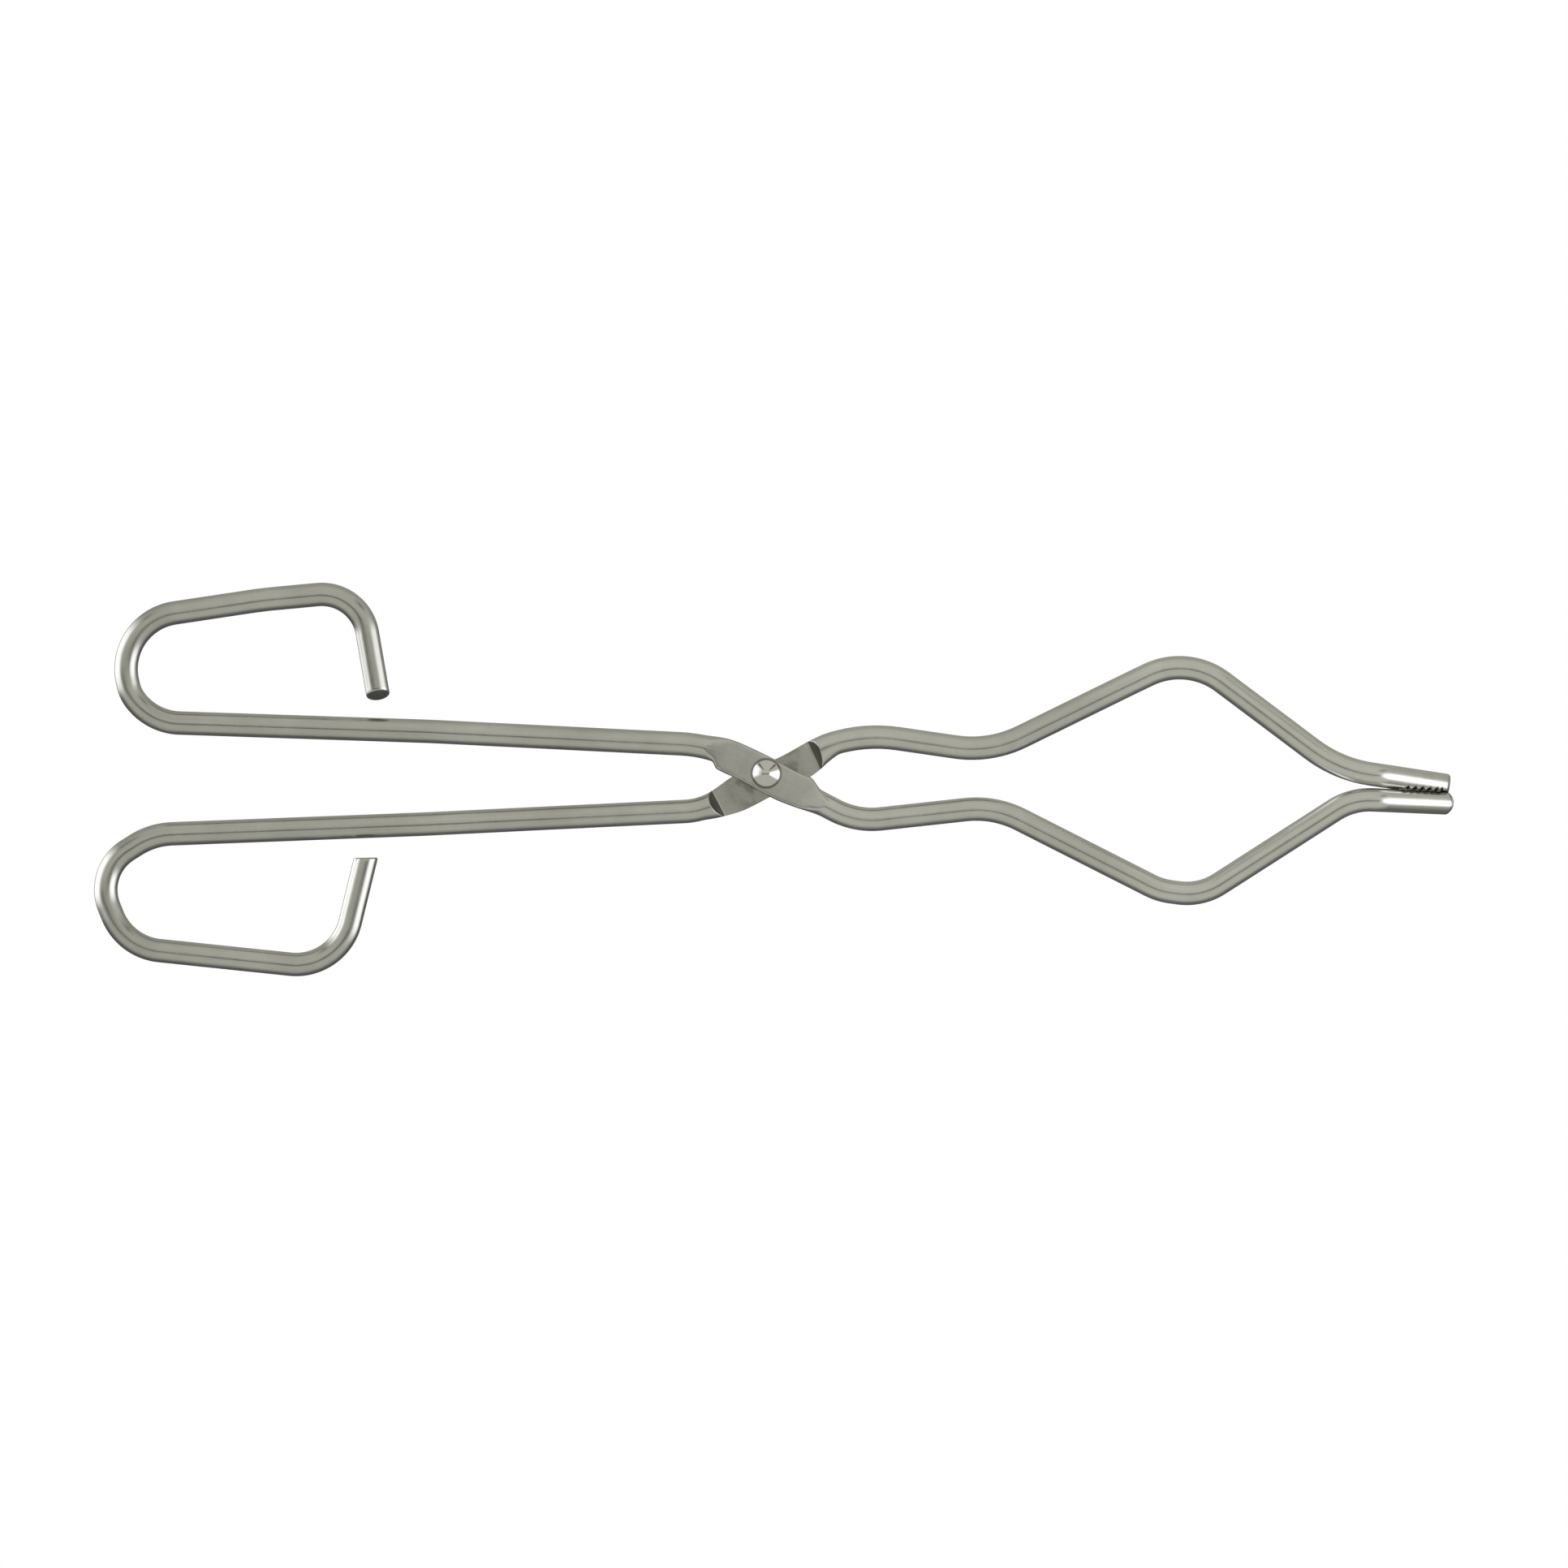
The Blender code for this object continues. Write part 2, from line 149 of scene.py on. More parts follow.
FRONT_FORM = ArmForm(
    lap_angle=27.6,
    lap_offset=-0.25,
    shank_bend_at=13.9,
    shank_bend_radius=29.5,
    neck_bend_at=22.4,
    neck_bend_radius=18.0,
    shank_set=0.5,
    handle_offset=11.3,
    loop_corner_radius=15.0,
    loop=(
        Bend(49.8, 5.9),
        Bend(45.8, 29.0, 10.2),
        Bend(24.3, 27.0, 60.0),
        Bend(-8.3, 22.1, 12.5),
        Bend(-4.9, 6.3, 10.2),
    ),
    waist=Bend(50.3, -7.3, 21.5),
    bow=(Bend(-64.2, -25.8, 14.5), Bend(-55.2, -27.0, 13.3)),
    tip_overhang=0.1,
    tip_length=22.0,
    tip_bend_radius=18.0,
    heel_clearance=0.9,
    tip_flat_depth=0.5,
    hook_cut_angle=21.0,
    hook_skew=0.0,
    tip_cut_angle=0.0,
    tip_rounding=1.5,
    tooth_depth=0.5,
    tooth_top=-1.0,
    lap_from=-12.5,
    lap_to=12.5,
    spread_left=(
        (-16.0, 0.0),
        (-9.8, 0.8),
        (-2.0, 1.2),
        (7.0, 1.2),
        (9.4, 1.35),
        (12.6, 0.0),
    ),
    spread_right=(
        (-12.5, 0.0),
        (-10.6, 1.25),
        (-4.0, 1.25),
        (3.8, 1.4),
        (8.5, 0.95),
        (15.5, 0.0),
    ),
)

BACK_FORM = ArmForm(
    lap_angle=27.8,
    lap_offset=0.5,
    shank_bend_at=16.6,
    shank_bend_radius=15.0,
    neck_bend_at=20.8,
    neck_bend_radius=33.0,
    shank_set=0.3,
    handle_offset=13.5,
    loop_corner_radius=16.0,
    loop=(
        Bend(47.1, 5.1),
        Bend(41.1, 29.7, 12.3),
        Bend(-6.0, 24.8, 12.5),
        Bend(-12.7, 8.0, 10.3),
    ),
    waist=Bend(49.4, -4.7, 25.0),
    bow=(Bend(-70.8, -19.8, 15.0), Bend(-58.1, -25.9, 15.8)),
    tip_overhang=0.2,
    tip_length=25.0,
    tip_bend_radius=30.0,
    heel_clearance=-0.15,
    tip_flat_depth=1.2,
    hook_cut_angle=0.0,
    hook_skew=-13.0,
    tip_cut_angle=37.0,
    tip_rounding=0.8,
    tooth_depth=0.55,
    tooth_top=2.6,
    lap_from=-12.4,
    lap_to=11.2,
    spread_left=((-13.5, 0.0), (-6.4, 0.7), (4.0, -0.35), (12.3, -0.15), (15.0, 0.0)),
    spread_right=(
        (-17.0, 0.0),
        (-12.6, 1.0),
        (-8.1, 1.85),
        (-1.5, 1.95),
        (7.9, 2.15),
        (11.2, 1.7),
        (14.3, 0.75),
        (17.5, 0.0),
    ),
)


# ---------------------------------------------------------------- centre line


def meeting_y(x):
    """Where the plane on which the two tips meet stands, at x along the tongs."""
    return MEETING_END_Y + (x - JAW_LENGTH) * math.tan(math.radians(MEETING_ANGLE))


def arm_corners(form, side):
    """Corners of one arm's centre line, hook end first."""
    slope = math.radians(form.lap_angle)
    lap = Vector((math.cos(slope), -math.sin(slope), 0.0))
    lap_middle = Vector((0.0, form.lap_offset, 0.0))
    loop_corner = Vector((-HANDLE_LENGTH, form.handle_offset, 0.0))
    shank_bend = lap_middle - lap * form.shank_bend_at
    corners = [(loop_corner + Vector((bend.x, bend.y, 0.0)), bend.radius) for bend in form.loop]
    corners.append((loop_corner, form.loop_corner_radius))
    shank_middle = (loop_corner + shank_bend) / 2 + Vector((0.0, form.shank_set, 0.0))
    corners.append((shank_middle, SHANK_SET_RADIUS))
    corners.append((shank_bend, form.shank_bend_radius))
    corners.append((lap_middle + lap * form.neck_bend_at, form.neck_bend_radius))
    corners.append((Vector((form.waist.x, form.waist.y, 0.0)), form.waist.radius))
    corners += [(Vector((JAW_LENGTH + bend.x, bend.y, 0.0)), bend.radius) for bend in form.bow]
    standoff = ROD_RADIUS + MEETING_GAP / 2
    end_x = JAW_LENGTH + form.tip_overhang
    drop_x = JAW_LENGTH - TIP_DROP_LENGTH
    heel_x = end_x - form.tip_length
    heel_y = side * meeting_y(heel_x) - standoff - form.heel_clearance
    end_y = side * meeting_y(end_x) - standoff + form.tip_flat_depth
    drop_y = heel_y + (end_y - heel_y) * (drop_x - heel_x) / form.tip_length
    end_z = -(end_x - drop_x) * math.tan(math.radians(TIP_DROP_ANGLE))
    corners.append((Vector((heel_x, heel_y, 0.0)), form.tip_bend_radius))
    corners.append((Vector((drop_x, drop_y, 0.0)), TIP_DROP_RADIUS))
    corners.append((Vector((end_x, end_y, end_z)), 0.0))
    return [(Vector((place.x, side * place.y, place.z)), radius) for place, radius in corners]


@dataclass(frozen=True)
class Stretch:
    """A straight or evenly curved length of the centre line, from start in its direction."""

    begin: float
    length: float
    start: Vector
    direction: Vector
    centre: Vector = None
    axis: Vector = None
    radius: float = 0.0

    def at(self, along):
        """The place and the direction at this distance from the line's start."""
        gone = along - self.begin
        if self.centre is None:
            return self.start + self.direction * gone, self.direction
        turn = Matrix.Rotation(gone / self.radius, 3, self.axis)
        return self.centre + turn @ (self.start - self.centre), turn @ self.direction


def bend_tangents(corners):
    """How much of the runs beside each corner its bend takes, and the angle it turns through."""
    runs = [(after - before).length for (before, _), (after, _) in zip(corners, corners[1:])]
    turns = [0.0]
    for (before, _), (corner, _), (after, _) in zip(corners, corners[1:], corners[2:]):
        turns.append((corner - before).angle(after - corner))
    turns.append(0.0)
    wanted = [radius * math.tan(turn / 2) for (_, radius), turn in zip(corners, turns)]
    tangents = list(wanted)
    for number, run in enumerate(runs):
        share = run / max(wanted[number] + wanted[number + 1], run)
        for end in (number, number + 1):
            tangents[end] = min(tangents[end], wanted[end] * share)
    return tangents, turns


class CentreLine:
    """Straight runs joined by round bends, measured along their length from the hook's end."""

    def __init__(self, corners):
        tangents, turns = bend_tangents(corners)
        self.stretches = []
        self.length = 0.0
        place = corners[0][0]
        for number in range(1, len(corners)):
            corner = corners[number][0]
            ahead = (corner - corners[number - 1][0]).normalized()
            self.add(ahead, (corner - place).length - tangents[number], place)
            place = corner - ahead * tangents[number]
            if number + 1 < len(corners):
                leaving = (corners[number + 1][0] - corner).normalized()
                radius = tangents[number] / math.tan(turns[number] / 2)
                inward = (leaving - ahead).normalized()
                centre = corner + inward * math.hypot(radius, tangents[number])
                axis = ahead.cross(leaving).normalized()
                self.add(ahead, radius * turns[number], place, centre, axis, radius)
                place = corner + leaving * tangents[number]

    def add(self, direction, length, start, centre=None, axis=None, radius=0.0):
        stretch = Stretch(self.length, length, start, direction, centre, axis, radius)
        self.stretches.append(stretch)
        self.length += length

    def stretch_at(self, along):
        begins = [stretch.begin for stretch in self.stretches]
        return self.stretches[max(bisect_right(begins, along) - 1, 0)]

    def nearest(self, target):
        """The distance along the line at which a straight stretch passes the target."""
        best = min(
            (stretch for stretch in self.stretches if stretch.centre is None),
            key=lambda stretch: (stretch.at(stretch.begin + stretch.length / 2)[0] - target).length,
        )
        return best.begin + (target - best.start).dot(best.direction)


# ---------------------------------------------------------------- drawing and forging the rod

# The rod's mesh: its sides, and how far apart its rings stand.
ROD_SIDES = 64
STRAIGHT_SPACING = 5.0
BEND_SPACING = math.radians(3.0)
FLAT_SPACING = 0.35
SHOULDER_SPACING = 0.1
TIP_SPACING = 0.2
END_SPACING = 1.0
END_REACH = 2.2
TIP_REACH = 17.5
SHOULDER_MARGIN = 0.5
TOUCHING = 0.001

# The flat: its sloped shoulders, its outer face and how softly they run into the rod.
FORGING_REACH = 17.6
SHOULDER_SLOPE = math.tan(math.radians(57.0))
SHOULDER_LENGTH = (ROD_RADIUS + LAP_CLEARANCE / 2) / SHOULDER_SLOPE
CREASE_SOFTNESS = 0.09
FLAT_SQUARENESS = 1.4
EDGE_SOFTNESS = 0.2
BLEND_SOFTNESS = 2.0
OUTER_FACE = LAP_CLEARANCE / 2 + FLAT_THICKNESS
OUTER_EASE_START = 15.0
OUTER_EASE_END = 9.5

# The ends: how far a slanted cut reaches up the rod, and its rounded rim.
SLANT_REACH = 5.0
HOOK_ROUNDING = 0.35
ROUNDING_STEPS = 4

# The tips: the plane they are filed to, and the grooves across it.
FILED_LEAN = 12.0
FILED_ANGLE = -4.0
FILED_GAP = 0.08
TOOTH_PITCH = 2.0
TOOTH_WIDTH = 1.75
TOOTH_COUNT = 7
TOOTH_END_MARGIN = 3.2


def smoothly(low, high, value):
    """0 at low, 1 at high and an S curve between them; low may be the greater."""
    share = min(max((value - low) / (high - low), 0.0), 1.0)
    return share * share * (3.0 - 2.0 * share)


def along_table(table, place):
    """A value on the smooth curve through (place, value) pairs, level at the table's two ends."""
    slopes = [0.0]
    for before, after in zip(table, table[2:]):
        slopes.append((after[1] - before[1]) / (after[0] - before[0]))
    slopes.append(0.0)
    for number in range(len(table) - 1):
        (before, low), (after, high) = table[number], table[number + 1]
        if before <= place <= after:
            run = after - before
            share = (place - before) / run
            rest = 1.0 - share
            eased = share * share * (3.0 - 2.0 * share)
            leaving, arriving = slopes[number] * run, slopes[number + 1] * run
            swing = share * rest * (leaving * rest - arriving * share)
            return low + (high - low) * eased + swing
    return table[0][1] if place < table[0][0] else table[-1][1]


def soft_lesser(first, second, softness):
    """The lesser of two values, rounded off where they meet."""
    return (first + second - math.hypot(first - second, softness)) / 2


def ring_spacing(line, along, pivot_at, form):
    """How far on the next ring of the rod's mesh stands: closer where there is more shape."""
    stretch = line.stretch_at(along + TOUCHING)
    spacing = STRAIGHT_SPACING if stretch.centre is None else stretch.radius * BEND_SPACING
    if along < END_REACH or line.length - along < END_REACH:
        spacing = min(spacing, END_SPACING)
    elif line.length - along < TIP_REACH:
        spacing = TIP_SPACING
    from_pivot = along - pivot_at
    if abs(from_pivot) < FORGING_REACH:
        spacing = FLAT_SPACING
    for low in (form.lap_from - SHOULDER_LENGTH, form.lap_to):
        if low - SHOULDER_MARGIN < from_pivot < low + SHOULDER_LENGTH + SHOULDER_MARGIN:
            spacing = SHOULDER_SPACING
    return spacing


def ring_places(line, pivot_at, form):
    """Distances along the rod at which its mesh has a ring, ends included."""
    places = [0.0]
    while line.length - places[-1] > TOUCHING:
        along = places[-1]
        stretch = line.stretch_at(along + TOUCHING)
        rest = stretch.begin + stretch.length - along
        step = ring_spacing(line, along, pivot_at, form)
        places.append(along + rest / max(1, round(rest / step)))
    return places


def drawn_rod(places):
    """A straight round rod along X, as rings extruded one from another and capped."""
    shape = bmesh.new()
    bmesh.ops.create_circle(shape, cap_ends=True, segments=ROD_SIDES, radius=ROD_RADIUS)
    onto_x = Matrix.Rotation(-math.pi / 2, 3, "Y")
    bmesh.ops.rotate(shape, verts=shape.verts, matrix=onto_x, cent=(0.0, 0.0, 0.0))
    ring = list(shape.edges)
    for before, after in zip(places, places[1:]):
        made = bmesh.ops.extrude_edge_only(shape, edges=ring)["geom"]
        verts = [item for item in made if isinstance(item, bmesh.types.BMVert)]
        fresh = set(verts)
        edges = [item for item in made if isinstance(item, bmesh.types.BMEdge)]
        ring = [edge for edge in edges if fresh.issuperset(edge.verts)]
        bmesh.ops.translate(shape, verts=verts, vec=(after - before, 0.0, 0.0))
    bmesh.ops.contextual_create(shape, geom=ring)
    bmesh.ops.recalc_face_normals(shape, faces=shape.faces)
    return shape


def mark_rod(shape):
    """Keeps each point's place on the straight rod, which the drawn lines of the finish follow."""
    layer = shape.verts.layers.float_vector.new("rod_place")
    for vert in shape.verts:
        vert[layer] = vert.co
    return layer


def forged_section(across, height, from_pivot, form, side):
    """Where a point of the round section goes when the middle of the rod is forged flat."""
    spread = along_table(form.spread_left if across > 0 else form.spread_right, from_pivot)
    half_width = ROD_RADIUS + spread
    if height * side > 0:
        worked = 1.0 - smoothly(OUTER_EASE_END, OUTER_EASE_START, abs(from_pivot))
        full_height = abs(height) * (1.0 + FLAT_SQUARENESS * worked)
        face = ROD_RADIUS + (OUTER_FACE - ROD_RADIUS) * worked
        softness = worked * (EDGE_SOFTNESS + BLEND_SOFTNESS * (1.0 - worked))
        height = side * soft_lesser(full_height, face, softness)
    across *= half_width / ROD_RADIUS
    beyond = max(form.lap_from - from_pivot, from_pivot - form.lap_to)
    eased = (beyond + math.hypot(beyond, CREASE_SOFTNESS)) / 2
    limit = -LAP_CLEARANCE / 2 + eased * SHOULDER_SLOPE
    return across, -side * soft_lesser(-side * height, limit, CREASE_SOFTNESS)


def forge_flat(shape, pivot_at, form, side):
    """Spreads the rod's middle into a half-thick flat with a sloped shoulder at each end."""
    worked = shape.verts.layers.float.new("forged")
    lapped = shape.verts.layers.float.new("lap_face")
    sloped = shape.verts.layers.float.new("shoulder")
    for vert in shape.verts:
        from_pivot = vert.co.x - pivot_at
        if abs(from_pivot) > FORGING_REACH:
            continue
        vert[worked] = 1.0 - smoothly(OUTER_EASE_END, OUTER_EASE_START, abs(from_pivot))
        before = vert.co.z
        across, height = forged_section(vert.co.y, before, from_pivot, form, side)
        vert.co.y, vert.co.z = across, height
        if before * side > 0:
            continue
        cut = smoothly(0.0, CREASE_SOFTNESS, side * (height - before))
        beyond = max(form.lap_from - from_pivot, from_pivot - form.lap_to)
        vert[lapped] = cut
        vert[sloped] = cut * smoothly(0.0, CREASE_SOFTNESS, beyond)


def trim_ends(shape, line, form):
    """Slants the two ends as they were cut, and rounds their rims."""
    caps = [face for face in shape.faces if len(face.verts) == ROD_SIDES]
    caps.sort(key=lambda face: face.calc_center_median().x)
    for vert in shape.verts:
        from_hook, from_tip = vert.co.x, line.length - vert.co.x
        hook_share = max(0.0, 1.0 - from_hook / SLANT_REACH)
        tip_share = max(0.0, 1.0 - from_tip / SLANT_REACH)
        hook_slant = math.tan(math.radians(form.hook_cut_angle)) * hook_share
        tip_slant = math.tan(math.radians(form.tip_cut_angle)) * tip_share
        skew = math.tan(math.radians(form.hook_skew)) * hook_share
        vert.co.x += vert.co.z * (hook_slant - tip_slant) + vert.co.y * skew
    for cap, rounding in zip(caps, (HOOK_ROUNDING, form.tip_rounding)):
        cap.material_index = 1
        bmesh.ops.bevel(
            shape,
            geom=list(cap.edges),
            offset=rounding,
            segments=ROUNDING_STEPS,
            profile=0.5,
            affect="EDGES",
            material=-1,
        )


def bend_rod(shape, line):
    """Bends the straight rod to the arm's centre line, at the height of the tongs' middle."""
    for vert in shape.verts:
        along = min(max(vert.co.x, 0.0), line.length)
        place, direction = line.stretch_at(along).at(along)
        left = UP.cross(direction).normalized()
        above = direction.cross(left)
        place = place + direction * (vert.co.x - along) + UP * MIDDLE_Z
        vert.co = place + left * vert.co.y + above * vert.co.z


def tooth_depth_at(from_end, height, form):
    """How deep the V grooves of the toothed face are, at this distance from the tip's end."""
    number = round((from_end - TOOTH_END_MARGIN) / TOOTH_PITCH)
    number = min(max(number, 0), TOOTH_COUNT - 1)
    off_middle = abs(from_end - TOOTH_END_MARGIN - number * TOOTH_PITCH)
    run_out = smoothly(ROD_RADIUS, 0.0, height - form.tooth_top)
    return form.tooth_depth * run_out * max(0.0, 1.0 - 2 * off_middle / TOOTH_WIDTH)


def file_tip(shape, rod_place, line, form, side):
    """Files the turned-down tip flat along the plane where the tips meet, and grooves it across."""
    slope, drop = math.radians(FILED_ANGLE), math.radians(TIP_DROP_ANGLE)
    along = Vector((math.cos(slope) * math.cos(drop), math.sin(slope), -math.sin(drop)))
    lean = Matrix.Rotation(math.radians(-FILED_LEAN), 3, along)
    outward = lean @ Vector((-math.sin(slope), math.cos(slope), 0.0)) * side
    end_z = MIDDLE_Z - TIP_DROP_LENGTH * math.tan(drop)
    on_plane = Vector((JAW_LENGTH, MEETING_END_Y, end_z)) - outward * FILED_GAP / 2
    filed_length = TIP_DROP_LENGTH / math.cos(drop)
    filed = shape.verts.layers.float.new("filed")
    for vert in shape.verts:
        from_end = line.length - vert[rod_place].x
        if from_end > filed_length:
            continue
        depth = tooth_depth_at(from_end, vert[rod_place].z, form)
        over = (vert.co - on_plane).dot(outward) + depth
        if over > 0:
            vert.co -= outward * over
            vert[filed] = 1.0


# ---------------------------------------------------------------- pieces

SHARP_ANGLE = math.radians(50.0)
HOLE_SIDES = 64
HOLE_DEPTH = 4 * ROD_RADIUS


def finished_piece(shape, name, materials, body, node):
    """The shape, scaled to metres, as an object that rides on a body in place of its CAD node."""
    bmesh.ops.recalc_face_normals(shape, faces=shape.faces)
    bmesh.ops.scale(shape, verts=shape.verts, vec=(MM, MM, MM))
    mesh = bpy.data.meshes.new(name)
    shape.to_mesh(mesh)
    shape.free()
    for material in materials:
        mesh.materials.append(material)
    mesh.shade_smooth()
    mesh.set_sharp_from_angle(angle=SHARP_ANGLE)
    piece = bpy.data.objects.new(name, mesh)
    bpy.context.scene.collection.objects.link(piece)
    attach(piece, body)
    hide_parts(node)
    return piece


def drilled(shape):
    """The shape with the rivet's hole through it, cut by the exact Boolean."""
    drill = bmesh.new()
    bmesh.ops.create_cone(
        drill,
        cap_ends=True,
        segments=HOLE_SIDES,
        radius1=HOLE_RADIUS,
        radius2=HOLE_RADIUS,
        depth=HOLE_DEPTH,
    )
    bmesh.ops.translate(drill, verts=drill.verts, vec=(0.0, 0.0, MIDDLE_Z))
    made = []
    for name, source in (("undrilled", shape), ("drill", drill)):
        bmesh.ops.recalc_face_normals(source, faces=source.faces)
        mesh = bpy.data.meshes.new(name)
        source.to_mesh(mesh)
        source.free()
        made.append(bpy.data.objects.new(name, mesh))
        bpy.context.scene.collection.objects.link(made[-1])
    work, cutter = made
    boolean = work.modifiers.new("Hole", "BOOLEAN")
    boolean.object = cutter
    boolean.operation = "DIFFERENCE"
    boolean.solver = "EXACT"
    result = bmesh.new()
    result.from_object(work, bpy.context.evaluated_depsgraph_get())
    for helper in made:
        mesh = helper.data
        bpy.data.objects.remove(helper)
        bpy.data.meshes.remove(mesh)
    return result


def make_arm(name, node, body, form, side, materials):
    """One arm, from a straight rod to the finished piece. Its materials are the rod's and a cut's."""
    line = CentreLine(arm_corners(form, side))
    pivot_at = line.nearest(PIVOT)
    shape = drawn_rod(ring_places(line, pivot_at, form))
    rod_place = mark_rod(shape)
    forge_flat(shape, pivot_at, form, side)
    trim_ends(shape, line, form)
    bend_rod(shape, line)
    file_tip(shape, rod_place, line, form, side)
    return finished_piece(drilled(shape), name, materials, body, node)


# The rivet: a peened head, its shank and the flat tail that closes it.
TURNED_SIDES = 96
DOME_STEPS = 28
EDGE_STEPS = 5
HEAD_HEIGHT = 2.2
HEAD_RIM = 0.3
HEAD_EDGE_ROUNDING = 0.25
RIM_SLOPE = 50.0
PEENED_TIP = 0.8
PEENED_SLOPE = 0.7
PEENED_RIM_POWER = 6
SHANK_RADIUS = 1.6
TAIL_THICKNESS = 0.9
TAIL_SETBACK = 0.2
TAIL_ROUNDING = 0.35


def arc(centre_r, centre_z, radius, start, end, steps):
    """Points (distance from the axis, height) along an arc between two angles from +Z."""
    points = []
    for step in range(steps + 1):
        angle = math.radians(start + (end - start) * step / steps)
        points.append((centre_r + radius * math.sin(angle), centre_z + radius * math.cos(angle)))
    return points


def peened_drop(radius):
    """How far the peened dome has fallen from its slightly pointed top, at this radius."""
    cone = math.hypot(PEENED_TIP, PEENED_SLOPE * radius) - PEENED_TIP
    cone_at_rim = math.hypot(PEENED_TIP, PEENED_SLOPE * HEAD_RADIUS) - PEENED_TIP
    fall_to_rim = HEAD_HEIGHT - HEAD_RIM - HEAD_EDGE_ROUNDING
    return cone + (fall_to_rim - cone_at_rim) * (radius / HEAD_RADIUS) ** PEENED_RIM_POWER


def rivet_profile():
    """Half of the rivet's outline, from the top of its head down to the middle of its tail."""
    seat = HEAD_TOP - HEAD_HEIGHT
    rim_in = HEAD_RADIUS - HEAD_EDGE_ROUNDING
    tail_radius = HEAD_RADIUS - TAIL_SETBACK
    tail_in = tail_radius - TAIL_ROUNDING
    radii = [rim_in * step / DOME_STEPS for step in range(DOME_STEPS)]
    profile = [(radius, HEAD_TOP - peened_drop(radius)) for radius in radii]
    profile += arc(rim_in, seat + HEAD_RIM, HEAD_EDGE_ROUNDING, RIM_SLOPE, 90.0, EDGE_STEPS)
    profile += [(HEAD_RADIUS, seat), (SHANK_RADIUS, seat), (SHANK_RADIUS, TAIL_THICKNESS)]
    profile.append((tail_radius, TAIL_THICKNESS))
    profile += arc(tail_in, TAIL_ROUNDING, TAIL_ROUNDING, 90.0, 180.0, EDGE_STEPS)
    profile.append((0.0, 0.0))
    return profile


def make_rivet(material):
    """The rivet's profile, turned about the pivot."""
    shape = bmesh.new()
    verts = [shape.verts.new((radius, 0.0, height)) for radius, height in rivet_profile()]
    edges = [shape.edges.new(pair) for pair in zip(verts, verts[1:])]
    bmesh.ops.spin(
        shape,
        geom=verts + edges,
        cent=PIVOT,
        axis=UP,
        angle=2 * math.pi,
        steps=TURNED_SIDES,
        use_merge=True,
    )
    bmesh.ops.remove_doubles(shape, verts=shape.verts, dist=MERGE_DISTANCE)
    return finished_piece(
        shape, "riveted_pin", [material], "front", "pivot_rivet"
    )


# ---------------------------------------------------------------- shader maths


class Signal:
    """A shader socket that takes part in arithmetic: each operator adds a Math node."""

    def __init__(self, nodes, socket):
        self.nodes = nodes
        self.socket = socket

    def math(self, operation, *others):
        sockets = dict(enumerate((self, *others)))
        return self.nodes.add("ShaderNodeMath", {"operation": operation}, sockets)

    def __add__(self, other):
        return self.math("ADD", other)

    def __sub__(self, other):
        return self.math("SUBTRACT", other)

    def __mul__(self, other):
        return self.math("MULTIPLY", other)

    def __rsub__(self, other):
        return self.math("MULTIPLY_ADD", -1.0, other)

    __radd__ = __add__
    __rmul__ = __mul__

    def size(self):
        return self.math("ABSOLUTE")

    def eased(self, low, high):
        """0 at low, 1 at high and an S curve between them; low may be the greater."""
        settings = {"interpolation_type": "SMOOTHSTEP"}
        sockets = {"Value": self, "From Min": low, "From Max": high}
        return self.nodes.add("ShaderNodeMapRange", settings, sockets)


class Nodes:
    """Adds nodes to a material's or a world's tree."""

    def __init__(self, owner):
        owner.use_nodes = True
        self.tree = owner.node_tree
        self.tree.nodes.clear()

    def add(self, kind, settings=None, sockets=None, output=0):
        """A node of this kind: its settings first, then its sockets' values or links."""
        node = self.tree.nodes.new(kind)
        for name, value in (settings or {}).items():
            setattr(node, name, value)
        for name, value in (sockets or {}).items():
            if isinstance(value, Signal):
                self.tree.links.new(value.socket, node.inputs[name])
            else:
                node.inputs[name].default_value = value
        return Signal(self, node.outputs[output]) if node.outputs else None

    def mix(self, factor, first, second):
        """Between two colours, by a factor."""
        settings = {"data_type": "RGBA", "clamp_factor": True}
        return self.add("ShaderNodeMix", settings, {0: factor, 6: first, 7: second}, output=2)

    def scaled(self, vector, scale):
        return self.add("ShaderNodeMapping", None, {"Vector": vector, "Scale": scale})

    def noise(self, vector, scale, detail=2.0, roughness=0.5):
        sockets = {"Vector": vector, "Scale": scale, "Detail": detail, "Roughness": roughness}
        return self.add("ShaderNodeTexNoise", None, sockets)

    def attribute(self, name, output):
        return self.add("ShaderNodeAttribute", {"attribute_name": name}, None, output)


# ---------------------------------------------------------------- finishes

# Scales of the patterns, along the rod and across it.
LINE_SCALE = (0.03, 3.2, 3.2)
FINE_LINE_SCALE = (0.12, 11.0, 11.0)
SAW_MARK_SCALE = (1.0, 0.6, 9.0)
SCRATCH_SCALE = (9.0, 1.2, 1.0)

# How strongly each pattern shades the satin rod, from its dark tone to its light one.
MIDDLE_SHADE = 0.5
CLOUD_SHADE = 0.5
LINE_SHADE = 0.5
FINE_LINE_SHADE = 0.45
TONE_SHADE = 0.9
JAW_SHADE = 0.0019
# The next two darken the lap faces, most near the pivot: partly wear and smudges, partly painted
# shade beside the front arm's edge.
LAP_SHADE = 0.2
WORN_AND_SHADED_DARKENING = 0.35
SMUDGE_SHADE = 0.9

# The satin rod's roughness and relief, and how much of its lines the forging leaves.
SATIN_ROUGHNESS = 0.24
CLOUD_ROUGHNESS = 0.12
FINE_LINE_ROUGHNESS = 0.10
SMUDGE_ROUGHNESS = 0.12
FINE_LINE_RELIEF = 0.35
CLOUD_RELIEF = 1.2
SMUDGE_RELIEF = 1.5
FORGED_SMOOTHNESS = 0.8

# Depths of the relief, in metres.
SATIN_RELIEF = 0.000012
SAWN_RELIEF = 0.00001
POLISHED_RELIEF = 0.000002
